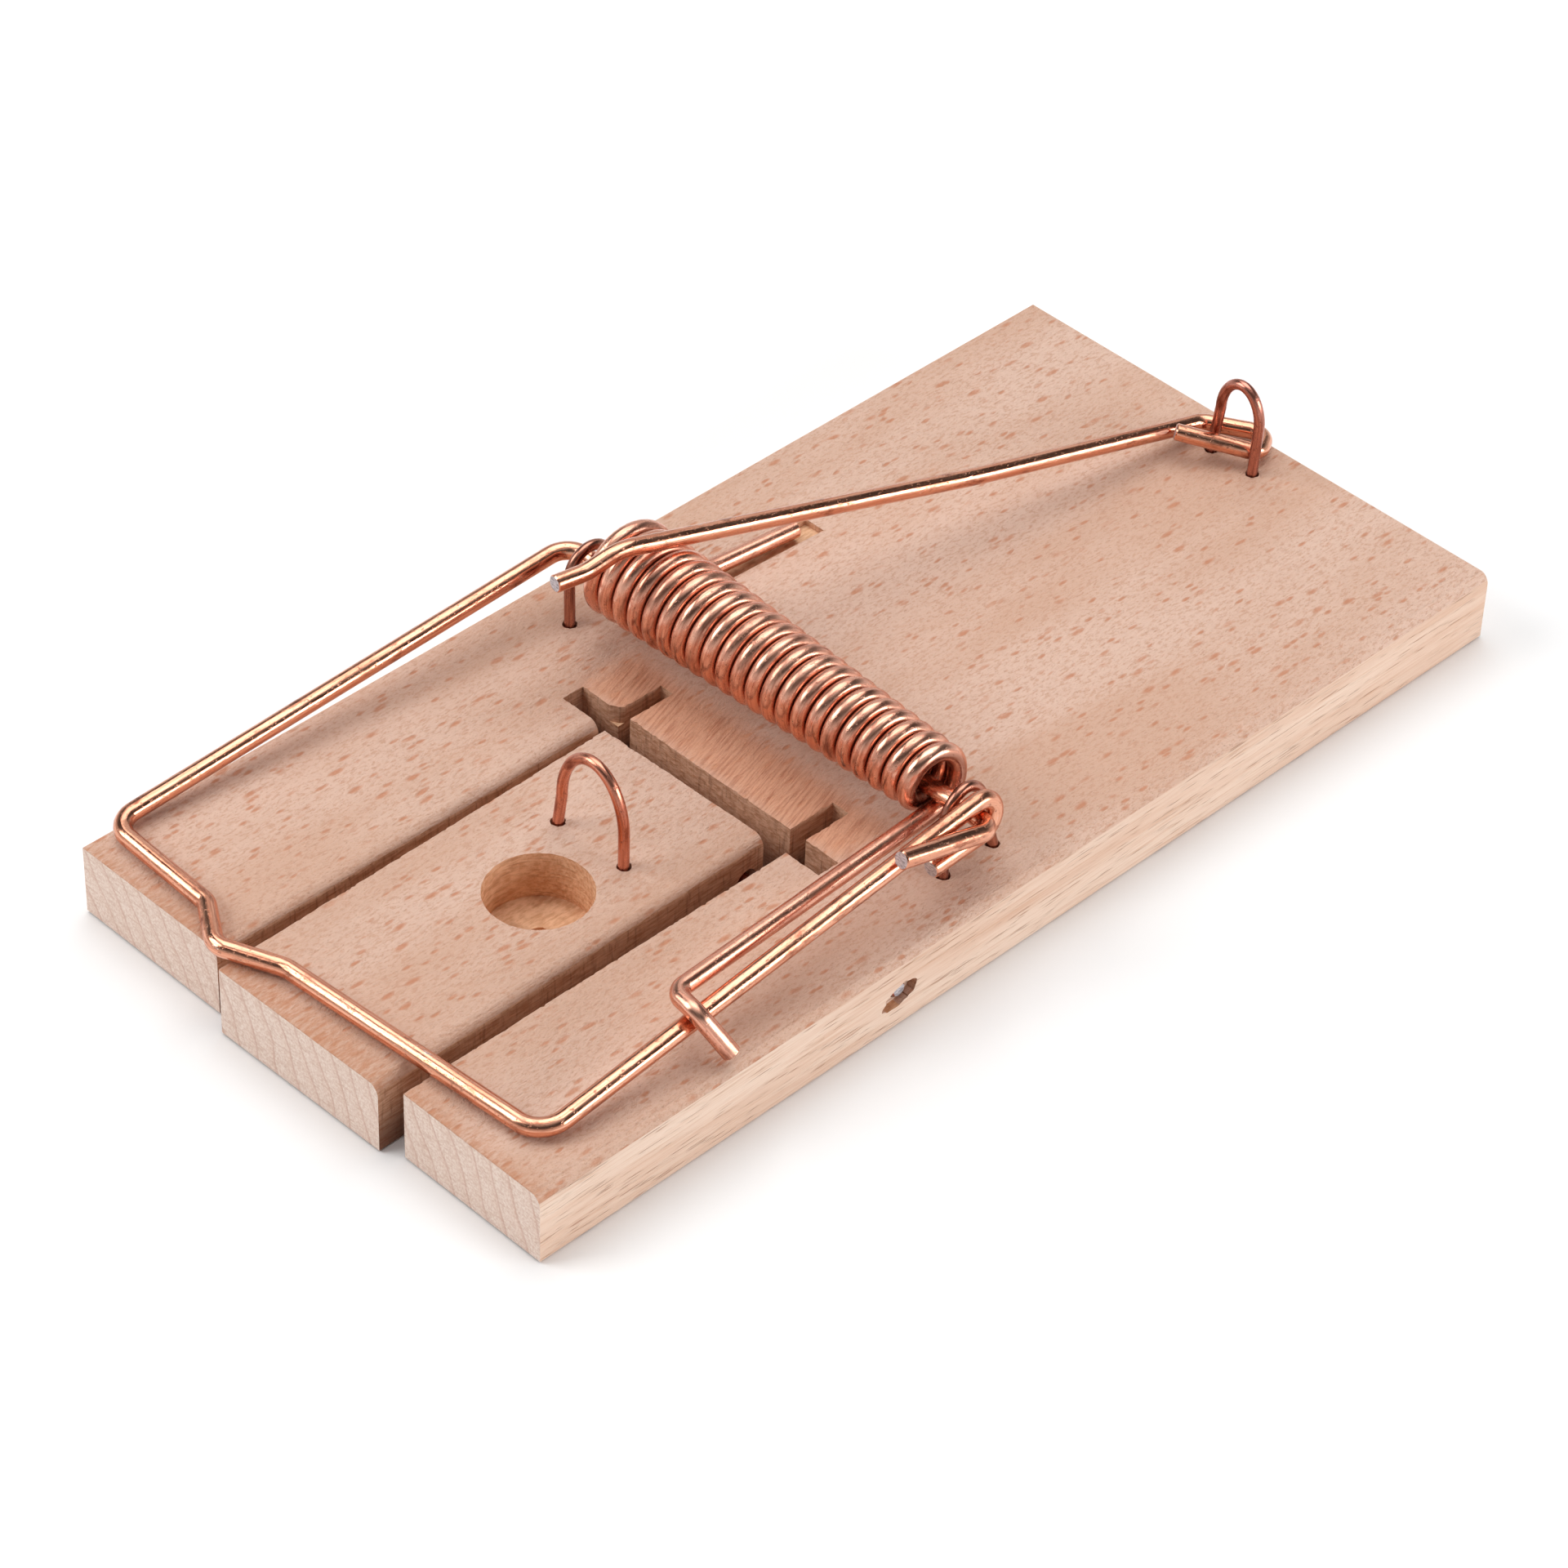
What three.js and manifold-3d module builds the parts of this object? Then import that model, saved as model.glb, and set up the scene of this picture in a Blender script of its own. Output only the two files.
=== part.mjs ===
// A sprung wooden mouse trap: a beech board with a pivoted treadle, the wire bow that snaps over it,
// the torsion spring that drives the bow, and the bar that holds the bow open when the trap is set.
// Millimetres. +X is to the right, +Y runs from the front (treadle) edge to the rear and +Z is up.
// Every piece is laid out with y measured from the board's front edge; the last group centres the board.
import * as THREE from "three";
import { mergeVertices } from "three/addons/utils/BufferGeometryUtils.js";
import Module from "manifold-3d";

const wasm = await Module();
wasm.setup();

const BOARD = { width: 47, length: 96.4, thickness: 6 };
const TOP = BOARD.thickness;
const EDGE_ROUND = 1.0; // radius worn onto the right-hand long edges
const OVERSHOOT = 0.5; // how far a cutting tool reaches past the face it cuts

// The saw cuts that free the treadle: two along the board and one across, each running past the other.
const KERF = {
  left: { from: -9.05, to: -7.8 },
  right: { from: 8.6, to: 10.15 },
  cross: { from: 35.6, to: 37.55 },
  crossEnds: { from: -12.8, to: 13.4 },
  alongEnd: 41.8,
};

const TREADLE = { width: 16, front: -1, rear: 35.5, centreX: -0.08, yawDegrees: 1 };
const BAIT_HOLE = { x: 1.18, y: 20.13, radius: 4, depth: 4, pipRadius: 0.9, pipDepth: 0.6 };
const PIVOT = { y: 33.9, z: 2.8, pinRadius: 0.6, pinLeft: -14, pinRight: 23.1 };
const PIVOT_BORE = { board: 0.78, treadle: 1.0, leftEnd: -14.6 };
const TORN_MOUTH = { length: 3.4, height: 1.7, depth: 0.7, tiltDegrees: 18 };
const TAIL_GROOVE = { left: -17, right: -14.35, front: 50.5, rear: 63.6, floor: 5.35 };

const STAPLE_WIRE = 0.425;
const STAPLE_HOLE = 0.6;
const STAPLE_FOOT = 1.6; // height of a leg's lower end above the underside
const STAPLE_HOLE_FLOOR = 1.3;
// A staple's feet are halfSpan either side of (x, y). Its crown springs at a height, is crownHalf wide
// each side and has been knocked sideways by crownShift: first along its own span, then across it.
const TREADLE_STAPLE = {
  x: 0.09,
  y: 26.2,
  halfSpan: 3.3,
  crownHalf: 3.1,
  crownShift: [0.2, 0],
  spring: 8.8,
  apex: 13.6,
};
const REAR_STAPLE = {
  x: 1.05,
  y: 92.6,
  halfSpan: 2.1,
  crownHalf: 1.93,
  crownShift: [0.3, 0.1],
  spring: 10.3,
  apex: 13.25,
};
const LEFT_AXLE_STAPLE = {
  x: -18.7,
  y: 43.85,
  halfSpan: 2.1,
  crownHalf: 1.95,
  crownShift: [-0.1, -0.32],
  spring: 9.85,
  apex: 11.85,
};
const RIGHT_AXLE_STAPLE = {
  x: 19.3,
  y: 44.45,
  halfSpan: 2.5,
  crownHalf: 2.2,
  crownShift: [0, -0.7],
  spring: 8.6,
  apex: 12.1,
};

const BOW_WIRE = 0.7;
const AXLE = { y: 44.35, z: 10.35 };
const BOW = {
  frontZ: TOP + BOW_WIRE + 0.15,
  leftX: -23.2,
  leftRearX: -21.7,
  rightX: 20,
  eyeRadius: 1.5,
  eyeLift: 7.1, // degrees that the right arm climbs towards the axle
  endLoopX: 21.65,
};

const SPRING = {
  wire: 0.69,
  coilY: 44.6,
  left: { x: -16.1, z: 11.62, radius: 3.35 },
  right: { x: 16.1, z: 10.93, radius: 2.13 },
  turns: 22,
  stepsPerTurn: 16,
};

const LOCK_BAR_WIRE = 0.675;

const WIRE_SIDES = 8;
const BEND_STEP = THREE.MathUtils.degToRad(15);
const HOLE_SIDES = 24;

const COLOURS = {
  beech: { color: 0xe0bfa3, roughness: 0.72, metalness: 0 },
  copperedWire: { color: 0xc4714a, roughness: 0.3, metalness: 1 },
};

// --- booleans ------------------------------------------------------------------------------------

function toSolid(geometry) {
  const bare = geometry.clone();
  bare.deleteAttribute("normal");
  bare.deleteAttribute("uv");
  const merged = mergeVertices(bare, 1e-4);
  const numProp = 3;
  const vertProperties = new Float32Array(merged.attributes.position.array);
  const triVerts = new Uint32Array(merged.index.array);
  return new wasm.Manifold(new wasm.Mesh({ numProp, vertProperties, triVerts }));
}

function toGeometry(solid) {
  const mesh = solid.getMesh();
  const geometry = new THREE.BufferGeometry();
  geometry.setAttribute("position", new THREE.BufferAttribute(mesh.vertProperties, 3));
  geometry.setIndex(new THREE.BufferAttribute(mesh.triVerts, 1));
  geometry.computeVertexNormals();
  return geometry;
}

function cut(geometry, tools) {
  const start = toSolid(geometry);
  return toGeometry(tools.reduce((left, tool) => left.subtract(toSolid(tool)), start));
}

// --- wire ----------------------------------------------------------------------------------------

// A path that is swept through exactly the stations it is given, close together on the bends.
class StationPath extends THREE.Curve {
  constructor(stations) {
    super();
    this.stations = stations;
  }

  getUtoTmapping(u) {
    return u;
  }

  getPoint(t, target = new THREE.Vector3()) {
    const along = t * (this.stations.length - 1);
    const index = Math.min(Math.floor(along), this.stations.length - 2);
    return target.lerpVectors(this.stations[index], this.stations[index + 1], along - index);
  }
}

function sweptWire(stations, radius) {
  const section = new THREE.Shape();
  section.absarc(0, 0, radius, 0, 2 * Math.PI, false);
  return new THREE.ExtrudeGeometry(section, {
    extrudePath: new StationPath(stations),
    steps: stations.length - 1,
    curveSegments: WIRE_SIDES / 2,
    bevelEnabled: false,
  });
}

// Stations round one corner of a bent wire, on an arc tangent to both straights.
function bendStations(before, corner, after, radius) {
  const inward = new THREE.Vector3().subVectors(before, corner).normalize();
  const outward = new THREE.Vector3().subVectors(after, corner).normalize();
  const turn = Math.PI - inward.angleTo(outward);
  const setback = radius * Math.tan(turn / 2);
  const start = corner.clone().addScaledVector(inward, setback);
  const heading = inward.clone().negate();
  const side = outward.clone().addScaledVector(heading, -outward.dot(heading)).normalize();
  const steps = Math.max(2, Math.ceil(turn / BEND_STEP));
  return Array.from({ length: steps + 1 }, (_, i) => {
    const angle = (turn * i) / steps;
    return start
      .clone()
      .addScaledVector(heading, radius * Math.sin(angle))
      .addScaledVector(side, radius * (1 - Math.cos(angle)));
  });
}

// A wire bent at each inner corner. A corner is [x, y, z, bend radius]; the ends have no radius.
function bentStations(corners) {
  const at = corners.map(([x, y, z]) => new THREE.Vector3(x, y, z));
  const last = corners.length - 1;
  return at.flatMap((corner, i) => {
    if (i === 0 || i === last) return [corner];
    return bendStations(at[i - 1], corner, at[i + 1], corners[i][3]);
  });
}

// --- staples -------------------------------------------------------------------------------------

// A staple: two legs and an elliptical crown. It stands across the board unless alongBoard is set.
function stapleGeometry(staple, alongBoard) {
  const { x, y, halfSpan, crownHalf, crownShift, spring, apex } = staple;
  const steps = 12;
  const place = (span, off, height) => {
    const [px, py] = alongBoard ? [x + off, y - span] : [x + span, y + off];
    return new THREE.Vector3(px, py, height);
  };
  const crown = Array.from({ length: steps + 1 }, (_, i) => {
    const angle = (Math.PI * i) / steps;
    const span = crownShift[0] + crownHalf * Math.cos(angle);
    return place(span, crownShift[1], spring + (apex - spring) * Math.sin(angle));
  });
  const leg = (span) => [place(span, 0, STAPLE_FOOT), place(span, 0, TOP)];
  return sweptWire([...leg(halfSpan), ...crown, ...leg(-halfSpan).reverse()], STAPLE_WIRE);
}

function uprightHole(x, y, radius, floor) {
  const height = TOP - floor + OVERSHOOT;
  const hole = new THREE.CylinderGeometry(radius, radius, height, HOLE_SIDES);
  hole.rotateX(Math.PI / 2);
  hole.translate(x, y, floor + height / 2);
  return hole;
}

function stapleHoles({ x, y, halfSpan }, alongBoard) {
  return [-halfSpan, halfSpan].map((offset) => {
    const [px, py] = alongBoard ? [x, y + offset] : [x + offset, y];
    return uprightHole(px, py, STAPLE_HOLE, STAPLE_HOLE_FLOOR);
  });
}

// --- wood ----------------------------------------------------------------------------------------

// What a plane takes off a right-hand top edge at x, leaving it round.
function roundedEdgeTool(x, from, to) {
  const corner = new THREE.Shape();
  corner.moveTo(-EDGE_ROUND, OVERSHOOT);
  corner.lineTo(OVERSHOOT, OVERSHOOT);
  corner.lineTo(OVERSHOOT, -EDGE_ROUND);
  corner.lineTo(0, -EDGE_ROUND);
  corner.absarc(-EDGE_ROUND, -EDGE_ROUND, EDGE_ROUND, 0, Math.PI / 2, false);
  const tool = new THREE.ExtrudeGeometry(corner, {
    depth: to - from + 2 * OVERSHOOT,
    curveSegments: 6,
    bevelEnabled: false,
  });
  tool.rotateX(Math.PI / 2);
  tool.translate(x, to + OVERSHOOT, TOP);
  return tool;
}

function crossHole(radius, left, right) {
  const hole = new THREE.CylinderGeometry(radius, radius, right - left, HOLE_SIDES);
  hole.rotateZ(Math.PI / 2);
  hole.translate((left + right) / 2, PIVOT.y, PIVOT.z);
  return hole;
}

// The pin was driven in from the right, and tore the mouth of its hole along the grain.
function tornMouthTool() {
  const mouth = new THREE.Shape();
  mouth.absellipse(0, 0, TORN_MOUTH.length / 2, TORN_MOUTH.height / 2, 0, 2 * Math.PI, false);
  const tool = new THREE.ExtrudeGeometry(mouth, {
    depth: TORN_MOUTH.depth + OVERSHOOT,
    curveSegments: 10,
    bevelEnabled: false,
  });
  tool.rotateZ(THREE.MathUtils.degToRad(TORN_MOUTH.tiltDegrees));
  tool.rotateX(Math.PI / 2);
  tool.rotateZ(Math.PI / 2);
  tool.translate(BOARD.width / 2 - TORN_MOUTH.depth, PIVOT.y - 0.35, PIVOT.z);
  return tool;
}

function grooveTool({ left, right, front, rear, floor }) {
  const tool = new THREE.BoxGeometry(right - left, rear - front, TOP - floor + OVERSHOOT);
  tool.translate((left + right) / 2, (front + rear) / 2, (TOP + floor + OVERSHOOT) / 2);
  return tool;
}

// The board's plan: a rectangle with the sawn cross-shaped gap that the treadle lies in.
function boardPlan() {
  const half = BOARD.width / 2;
  const { left, right, cross, crossEnds, alongEnd } = KERF;
  return new THREE.Shape(
    [
      [-half, 0],
      [left.from, 0],
      [left.from, cross.from],
      [crossEnds.from, cross.from],
      [crossEnds.from, cross.to],
      [left.from, cross.to],
      [left.from, alongEnd],
      [left.to, alongEnd],
      [left.to, cross.to],
      [right.from, cross.to],
      [right.from, alongEnd],
      [right.to, alongEnd],
      [right.to, cross.to],
      [crossEnds.to, cross.to],
      [crossEnds.to, cross.from],
      [right.to, cross.from],
      [right.to, 0],
      [half, 0],
      [half, BOARD.length],
      [-half, BOARD.length],
    ].map(([x, y]) => new THREE.Vector2(x, y)),
  );
}

function baseBoard() {
  const slab = new THREE.ExtrudeGeometry(boardPlan(), { depth: BOARD.thickness, bevelEnabled: false });
  const right = BOARD.width / 2;
  return cut(slab, [
    roundedEdgeTool(right, 0, BOARD.length),
    roundedEdgeTool(KERF.left.from, 0, KERF.cross.from - OVERSHOOT),
    crossHole(PIVOT_BORE.board, PIVOT_BORE.leftEnd, right + OVERSHOOT),
    tornMouthTool(),
    grooveTool(TAIL_GROOVE),
    ...stapleHoles(REAR_STAPLE, false),
    ...stapleHoles(LEFT_AXLE_STAPLE, true),
    ...stapleHoles(RIGHT_AXLE_STAPLE, true),
  ]);
}

// The tongue sawn out of the board. Its lower rear edge is eased so that it can tip on the pin.
function treadle() {
  const { width, front, rear, centreX } = TREADLE;
  const ease = 1.2;
  const side = new THREE.Shape();
  side.moveTo(front, 0);
  side.lineTo(rear - ease, 0);
  side.lineTo(rear, ease);
  side.lineTo(rear, TOP);
  side.lineTo(front, TOP);
  const tongue = new THREE.ExtrudeGeometry(side, { depth: width, bevelEnabled: false });
  tongue.rotateX(Math.PI / 2);
  tongue.rotateZ(Math.PI / 2);
  tongue.translate(centreX - width / 2, 0, 0);
  const right = centreX + width / 2;
  return cut(tongue, [
    roundedEdgeTool(right, front, rear),
    crossHole(PIVOT_BORE.treadle, centreX - width, centreX + width),
    ...baitHoleTools(),
    ...stapleHoles(TREADLE_STAPLE, false),
  ]);
}

// A flat-bottomed drilling with the pip that the bit's centre point leaves.
function baitHoleTools() {
  const { x, y, radius, depth, pipRadius, pipDepth } = BAIT_HOLE;
  const bore = new THREE.CylinderGeometry(radius, radius, depth + OVERSHOOT, 2 * HOLE_SIDES);
  bore.rotateX(Math.PI / 2);
  bore.translate(x, y, TOP - depth + (depth + OVERSHOOT) / 2);
  const pip = new THREE.ConeGeometry(pipRadius, pipDepth, HOLE_SIDES / 2);
  pip.rotateX(-Math.PI / 2);
  pip.translate(x, y, TOP - depth - pipDepth / 2 + 0.01);
  return [bore, pip];
}

function pivotPin() {
  const { pinRadius, pinLeft, pinRight, y, z } = PIVOT;
  const pin = new THREE.CylinderGeometry(pinRadius, pinRadius, pinRight - pinLeft, 16);
  pin.rotateZ(Math.PI / 2);
  pin.translate((pinLeft + pinRight) / 2, y, z);
  return pin;
}

// --- moving wires --------------------------------------------------------------------------------

// The right arm's eye: round the back of the axle from above it to below it, working outwards.
function eyeStations(x, drift) {
  const start = 90 + BOW.eyeLift;
  const end = -95;
  const steps = Math.ceil(THREE.MathUtils.degToRad(start - end) / BEND_STEP);
  return Array.from({ length: steps + 1 }, (_, i) => {
    const angle = THREE.MathUtils.degToRad(start + ((end - start) * i) / steps);
    const y = AXLE.y + BOW.eyeRadius * Math.cos(angle);
    return new THREE.Vector3(x + (drift * i) / steps, y, AXLE.z + BOW.eyeRadius * Math.sin(angle));
  });
}

// One wire: from its cut end beside the right arm, along the axle to the left, round the bow's three
// sides, and back over the axle into the eye that closes it.
function snapBow() {
  const { frontZ, leftX, leftRearX, rightX, endLoopX } = BOW;
  const frame = bentStations([
    [21.15, 35.5, 12.45],
    [endLoopX, AXLE.y, AXLE.z, 1.3],
    [leftRearX, AXLE.y, AXLE.z, 1.9],
    [leftX, 2.45, frontZ, 1.9],
    [-12.5, 2.05, frontZ, 1.4],
    [-8.75, -0.35, frontZ, 1.6],
    [-3.7, 1.75, frontZ, 3],
    [rightX, 3.35, frontZ, 2.2],
    [rightX, AXLE.y - 2, AXLE.z + 1.25],
  ]);
  frame.pop();
  const cutEnd = new THREE.Vector3(rightX + 0.3, 39.5, 8.7);
  return sweptWire([...frame, ...eyeStations(rightX, 0.25), cutEnd], BOW_WIRE);
}

// The coil tapers to the right, and starts and ends underneath: its tail runs back to the board and
// its arm forward to the bow.
function coilStations() {
  const { coilY, left, right, turns, stepsPerTurn } = SPRING;
  const steps = turns * stepsPerTurn;
  return Array.from({ length: steps + 1 }, (_, i) => {
    const angle = (2 * Math.PI * i) / stepsPerTurn;
    const radius = THREE.MathUtils.lerp(left.radius, right.radius, i / steps);
    const x = THREE.MathUtils.lerp(left.x, right.x, i / steps);
    const z = THREE.MathUtils.lerp(left.z, right.z, i / steps);
    return new THREE.Vector3(x, coilY - radius * Math.sin(angle), z - radius * Math.cos(angle));
  });
}

function torsionSpring() {
  const { coilY, left, right, wire } = SPRING;
  const tailZ = left.z - left.radius;
  const armZ = right.z - right.radius;
  const tail = bentStations([
    [-15.2, 61.6, 6.4],
    [-15.75, 53.4, 6.75, 9],
    [left.x, coilY + 1.2, tailZ - 0.15, 3],
    [left.x, coilY, tailZ],
  ]);
  const arm = bentStations([
    [right.x, coilY, armZ],
    [right.x + 0.1, coilY - 1.5, armZ + 0.02, 8],
    [18.3, 16.95, 10, 1.3],
    [20.9, 16.5, 10.2, 1.2],
    [23.05, 17.8, 7.1],
  ]);
  tail.pop();
  arm.shift();
  return sweptWire([...tail, ...coilStations(), ...arm], wire);
}

// A straight sloping bar with a joggled tip, and an eye bent round one leg of the rear staple.
function lockBar() {
  const stations = bentStations([
    [-13.25, 35.2, 16.45],
    [-12.85, 37.9, 16.33, 4],
    [-12.35, 40.7, 17.17, 5],
    [-6.75, 72, 10.75, 100],
    [-3.5, 90.3, 7.66, 1.2],
    [-3, 93.45, 7.15, 1.5],
    [1.3, 96.3, 6.92, 1.3],
    [2.75, 93.75, 7.12, 1.1],
    [-2.3, 89.6, 8.5],
  ]);
  return sweptWire(stations, LOCK_BAR_WIRE);
}

// --- assembly ------------------------------------------------------------------------------------

function piece(name, geometry, look) {
  const mesh = new THREE.Mesh(geometry, new THREE.MeshStandardMaterial(look));
  mesh.name = name;
  return mesh;
}

// The treadle and its staple turn together on the pin, and sit slightly askew between the saw cuts.
function treadleAssembly() {
  const askew = new THREE.Group();
  const pivot = new THREE.Group();
  const parts = [
    piece("treadle", treadle(), COLOURS.beech),
    piece("treadle_staple", stapleGeometry(TREADLE_STAPLE, false), COLOURS.copperedWire),
  ];
  for (const part of parts) part.geometry.translate(0, -PIVOT.y, 0);
  askew.rotation.z = THREE.MathUtils.degToRad(TREADLE.yawDegrees);
  askew.add(...parts);
  pivot.position.y = PIVOT.y;
  pivot.add(askew);
  return pivot;
}

function mouseTrap() {
  const { beech, copperedWire } = COLOURS;
  const trap = new THREE.Group();
  trap.add(
    piece("base_board", baseBoard(), beech),
    treadleAssembly(),
    piece("treadle_pivot_pin", pivotPin(), copperedWire),
    piece("left_axle_staple", stapleGeometry(LEFT_AXLE_STAPLE, true), copperedWire),
    piece("right_axle_staple", stapleGeometry(RIGHT_AXLE_STAPLE, true), copperedWire),
    piece("rear_staple", stapleGeometry(REAR_STAPLE, false), copperedWire),
    piece("snap_bow", snapBow(), copperedWire),
    piece("torsion_spring", torsionSpring(), copperedWire),
    piece("lock_bar", lockBar(), copperedWire),
  );
  trap.position.y = -BOARD.length / 2;
  return trap;
}

const root = new THREE.Group();
root.add(mouseTrap());
export default root;
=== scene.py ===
"""The looks of a sprung wooden mouse trap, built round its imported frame.

Lengths in the tables are millimetres: x from the board's middle, y from its front (treadle) edge and
z from its underside. place() turns them into the frame's metres.
"""

import math
import random

import bmesh
import bpy
import numpy as np
from mathutils import Matrix, Vector


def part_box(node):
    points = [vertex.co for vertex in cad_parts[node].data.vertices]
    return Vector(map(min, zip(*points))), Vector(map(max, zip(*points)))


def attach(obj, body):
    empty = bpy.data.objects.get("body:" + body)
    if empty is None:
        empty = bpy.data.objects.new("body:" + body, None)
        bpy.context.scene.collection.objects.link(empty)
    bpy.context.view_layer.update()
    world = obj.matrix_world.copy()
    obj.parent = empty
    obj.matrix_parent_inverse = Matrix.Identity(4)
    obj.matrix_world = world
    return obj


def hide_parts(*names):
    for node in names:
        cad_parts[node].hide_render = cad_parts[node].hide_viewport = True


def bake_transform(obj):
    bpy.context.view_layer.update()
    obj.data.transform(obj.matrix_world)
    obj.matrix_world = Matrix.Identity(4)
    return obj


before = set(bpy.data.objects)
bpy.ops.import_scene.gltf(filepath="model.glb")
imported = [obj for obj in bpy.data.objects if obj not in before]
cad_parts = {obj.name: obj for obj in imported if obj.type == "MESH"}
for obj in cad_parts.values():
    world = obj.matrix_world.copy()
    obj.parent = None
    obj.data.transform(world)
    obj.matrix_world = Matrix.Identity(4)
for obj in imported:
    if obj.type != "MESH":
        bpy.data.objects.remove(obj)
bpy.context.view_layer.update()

MM = 0.001
BOARD_LOW, BOARD_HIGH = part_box("base_board")
FRONT_Y = BOARD_LOW.y / MM
WIDTH = (BOARD_HIGH.x - BOARD_LOW.x) / MM
LENGTH = (BOARD_HIGH.y - BOARD_LOW.y) / MM
TOP = BOARD_HIGH.z / MM
HALF = WIDTH / 2


def place(x, y, z):
    """A point of the millimetre layout, in the frame's metres."""
    return Vector((x, y + FRONT_Y, z)) * MM


# --- the layout of the wood ----------------------------------------------------------------------

# The cross-shaped saw cut that frees the treadle: each pair is the two sides of a cut, or its ends.
KERF_LEFT = (-9.05, -7.8)
KERF_RIGHT = (8.6, 10.15)
KERF_CROSS = (35.6, 37.55)
KERF_CROSS_ENDS = (-12.8, 13.4)
KERF_ALONG_END = 41.8
CHIP = {"outline": [(-10.4, 37.3), (-8.8, 37.3), (-8.8, 38.5), (-9.3, 37.9)], "depth": 1.5}

TREADLE_X = (-8.08, 7.92)
TREADLE_Y = (-1.0, 35.5)
TREADLE_YAW = math.radians(1)
TREADLE_EASE = 1.2
BAIT = {"x": 1.18, "y": 20.13, "radius": 4.0, "depth": 4.0, "margin": 0.1}
BAIT_PIP = {"radius": 0.72, "depth": 0.6, "overlap": 0.2}

# The pin lies along x at PIVOT, a y and a z.
PIVOT = (33.9, 2.8)
PIN_X = (-14.0, 23.1)
PIN_RADIUS = 0.6
TREADLE_BORE = 1.0
BOARD_BORE = {"end": -14.6, "radius": 0.78}
TORN_BORE = {"shift": -0.35, "radii": (1.7, 0.85), "depth": 0.7, "tilt": math.radians(18)}

GROOVE = {"front": (-16.4, -14.7), "rear": (-15.95, -14.0), "y": (50.5, 63.4), "floor": 5.45}
STAPLE_HOLE = {"radius": 0.552, "floor": 1.3}

# --- the layout of the wire ----------------------------------------------------------------------

STAPLE_WIRE = 0.425
STAPLE_FOOT = 1.6
STAPLES = {
    "treadle_staple": {
        "centre": (0.09, 26.2), "half": 3.3, "crown": 3.1, "shift": (0.2, 0.0),
        "spring": 8.8, "apex": 13.6, "along": False,
    },
    "rear_staple": {
        "centre": (1.05, 92.6), "half": 2.1, "crown": 1.93, "shift": (0.3, 0.1),
        "spring": 10.3, "apex": 13.25, "along": False,
    },
    "left_axle_staple": {
        "centre": (-18.7, 43.85), "half": 2.1, "crown": 1.95, "shift": (-0.1, -0.32),
        "spring": 9.85, "apex": 11.85, "along": True,
    },
    "right_axle_staple": {
        "centre": (19.3, 44.45), "half": 2.5, "crown": 2.2, "shift": (0.0, -0.7),
        "spring": 8.6, "apex": 12.1, "along": True,
    },
}

# The axle lies along x at AXLE, a y and a z. The eye's lift and end are degrees round it.
AXLE = (44.35, 10.35)
BOW_WIRE = 0.7
BOW_FRONT_Z = 6.85
EYE = {"x": 20.0, "radius": 1.5, "lift": 7.1, "end": -95.0, "drift": 0.25}
EYE_TIP = (20.3, 39.5, 8.7)

SPRING_WIRE = 0.69
COIL_Y = 44.6
COIL_LEFT = {"x": -16.1, "z": 11.62, "radius": 3.35}
COIL_RIGHT = {"x": 16.1, "z": 10.93, "radius": 2.13}
COIL_TURNS = 22

LOCK_BAR_WIRE = 0.675


# --- paths of bent wire --------------------------------------------------------------------------

BEND_STEP = math.radians(6)
FEWEST_BEND_STEPS = 4
CROWN_STEPS = 32
COIL_STEPS_PER_TURN = 40


def bend_points(before, corner, after, radius):
    """Points round one corner of a bent wire, on an arc tangent to both straights."""
    inward = (before - corner).normalized()
    outward = (after - corner).normalized()
    turn = math.pi - inward.angle(outward)
    start = corner + inward * (radius * math.tan(turn / 2))
    heading = -inward
    side = (outward - heading * outward.dot(heading)).normalized()
    steps = max(FEWEST_BEND_STEPS, math.ceil(turn / BEND_STEP))
    angles = [turn * i / steps for i in range(steps + 1)]
    return [
        start + heading * (radius * math.sin(a)) + side * (radius * (1 - math.cos(a)))
        for a in angles
    ]


def bent_path(corners):
    """A wire bent at each inner corner. A corner is (x, y, z, bend radius); the ends have no radius."""
    spots = [Vector(c[:3]) for c in corners]
    path = [spots[0]]
    for i in range(1, len(spots) - 1):
        path += bend_points(spots[i - 1], spots[i], spots[i + 1], corners[i][3])
    return path + [spots[-1]]


def staple_path(staple):
    """Two legs and an elliptical crown, standing along or across the board."""
    x, y = staple["centre"]

    def spot(span, off, height):
        if staple["along"]:
            return Vector((x + off, y - span, height))
        return Vector((x + span, y + off, height))

    def leg(span):
        return [spot(span, 0, STAPLE_FOOT), spot(span, 0, TOP)]

    crown = []
    for i in range(CROWN_STEPS + 1):
        angle = math.pi * i / CROWN_STEPS
        span = staple["shift"][0] + staple["crown"] * math.cos(angle)
        height = staple["spring"] + (staple["apex"] - staple["spring"]) * math.sin(angle)
        crown.append(spot(span, staple["shift"][1], height))
    return leg(staple["half"]) + crown + leg(-staple["half"])[::-1]


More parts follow.
